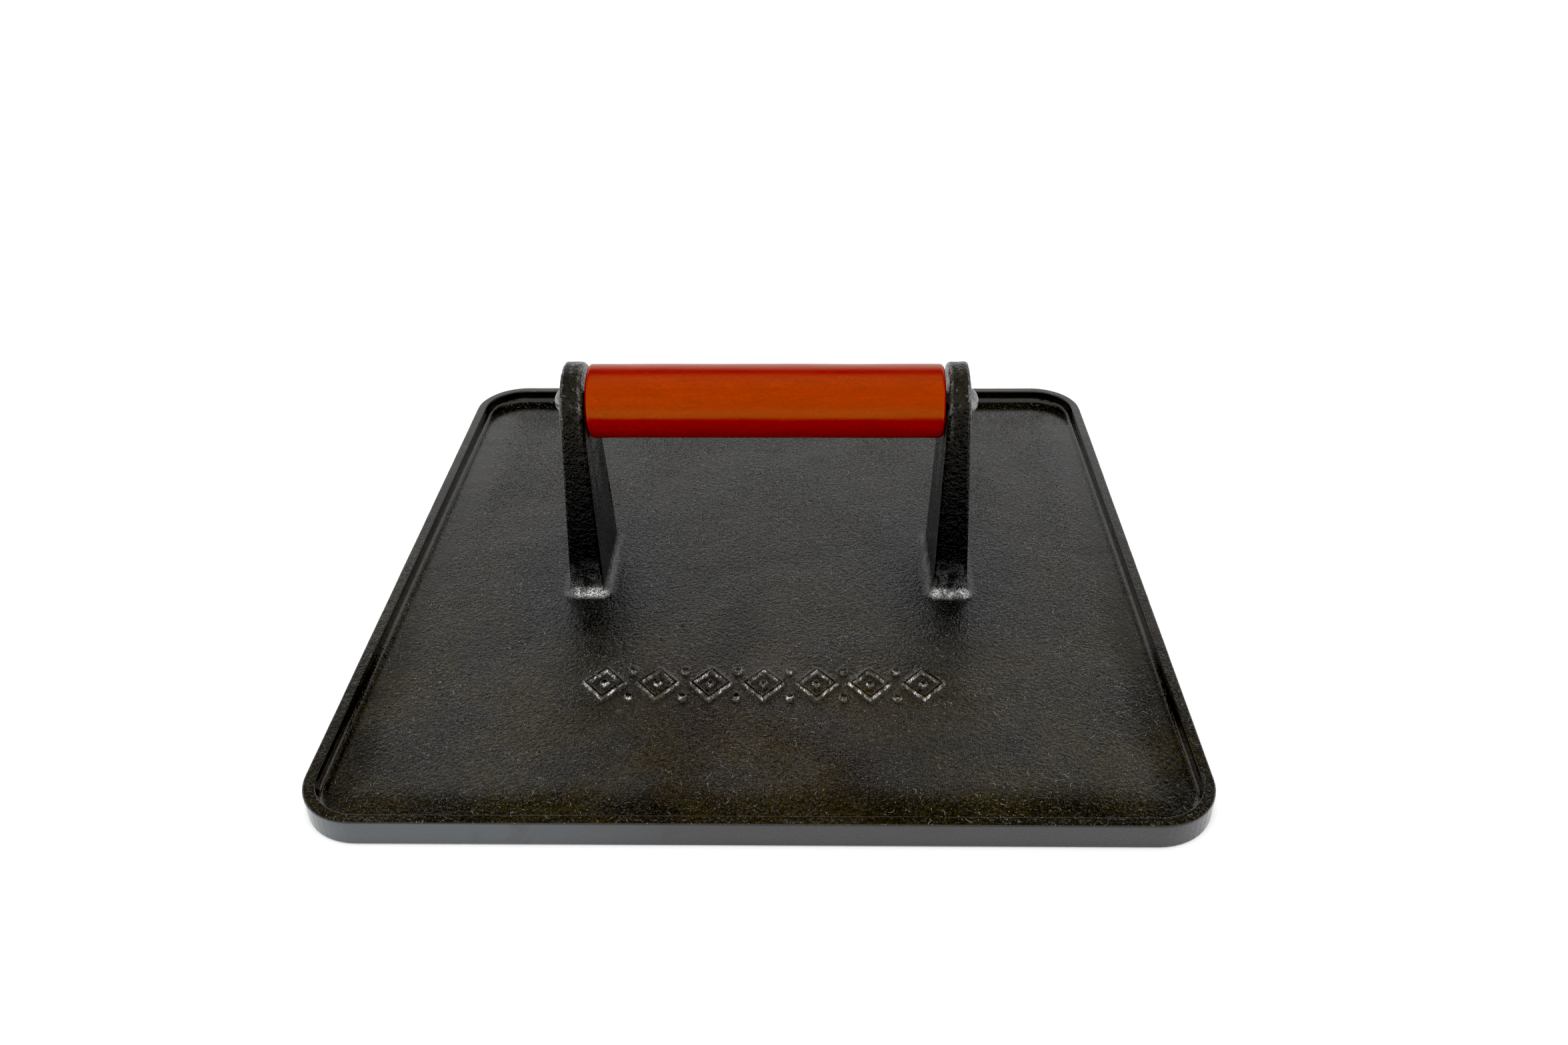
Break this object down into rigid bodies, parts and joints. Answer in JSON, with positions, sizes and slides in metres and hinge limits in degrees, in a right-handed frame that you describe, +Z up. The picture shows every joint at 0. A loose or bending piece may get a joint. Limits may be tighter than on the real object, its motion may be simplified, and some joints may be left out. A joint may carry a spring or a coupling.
{
  "type": "bacon press",
  "caption": "Square cast-iron bacon press: a flat rimmed plate with two cast posts that carry a round wooden grip on a through screw.",
  "frame": {"origin": "middle of the flat underside that presses the food, which is the bottom centre of the bounding box", "axes": "+Z up, away from the food; +X along the wooden grip, towards the screw head; -Y towards the edge with the raised ornament, the front"},
  "size_m": [0.222, 0.222, 0.0713],
  "materials": {
    "cast_iron": "black seasoned cast iron, pebbled, semi-gloss",
    "varnished_wood": "red-brown stained hardwood under gloss varnish",
    "plated_steel": "zinc-plated steel, bright"
  },
  "bodies": {
    "press": {"plate_casting": "cast_iron", "through_screw": "plated_steel", "barrel_nut": "plated_steel"},
    "grip": {"wooden_grip": "varnished_wood"}
  },
  "joints": [
    {"name": "grip_spin", "type": "hinge", "parent": "press", "child": "grip", "pos_m": [0, 0, 0.0602], "axis": [1, 0, 0], "continuous": true}
  ]
}
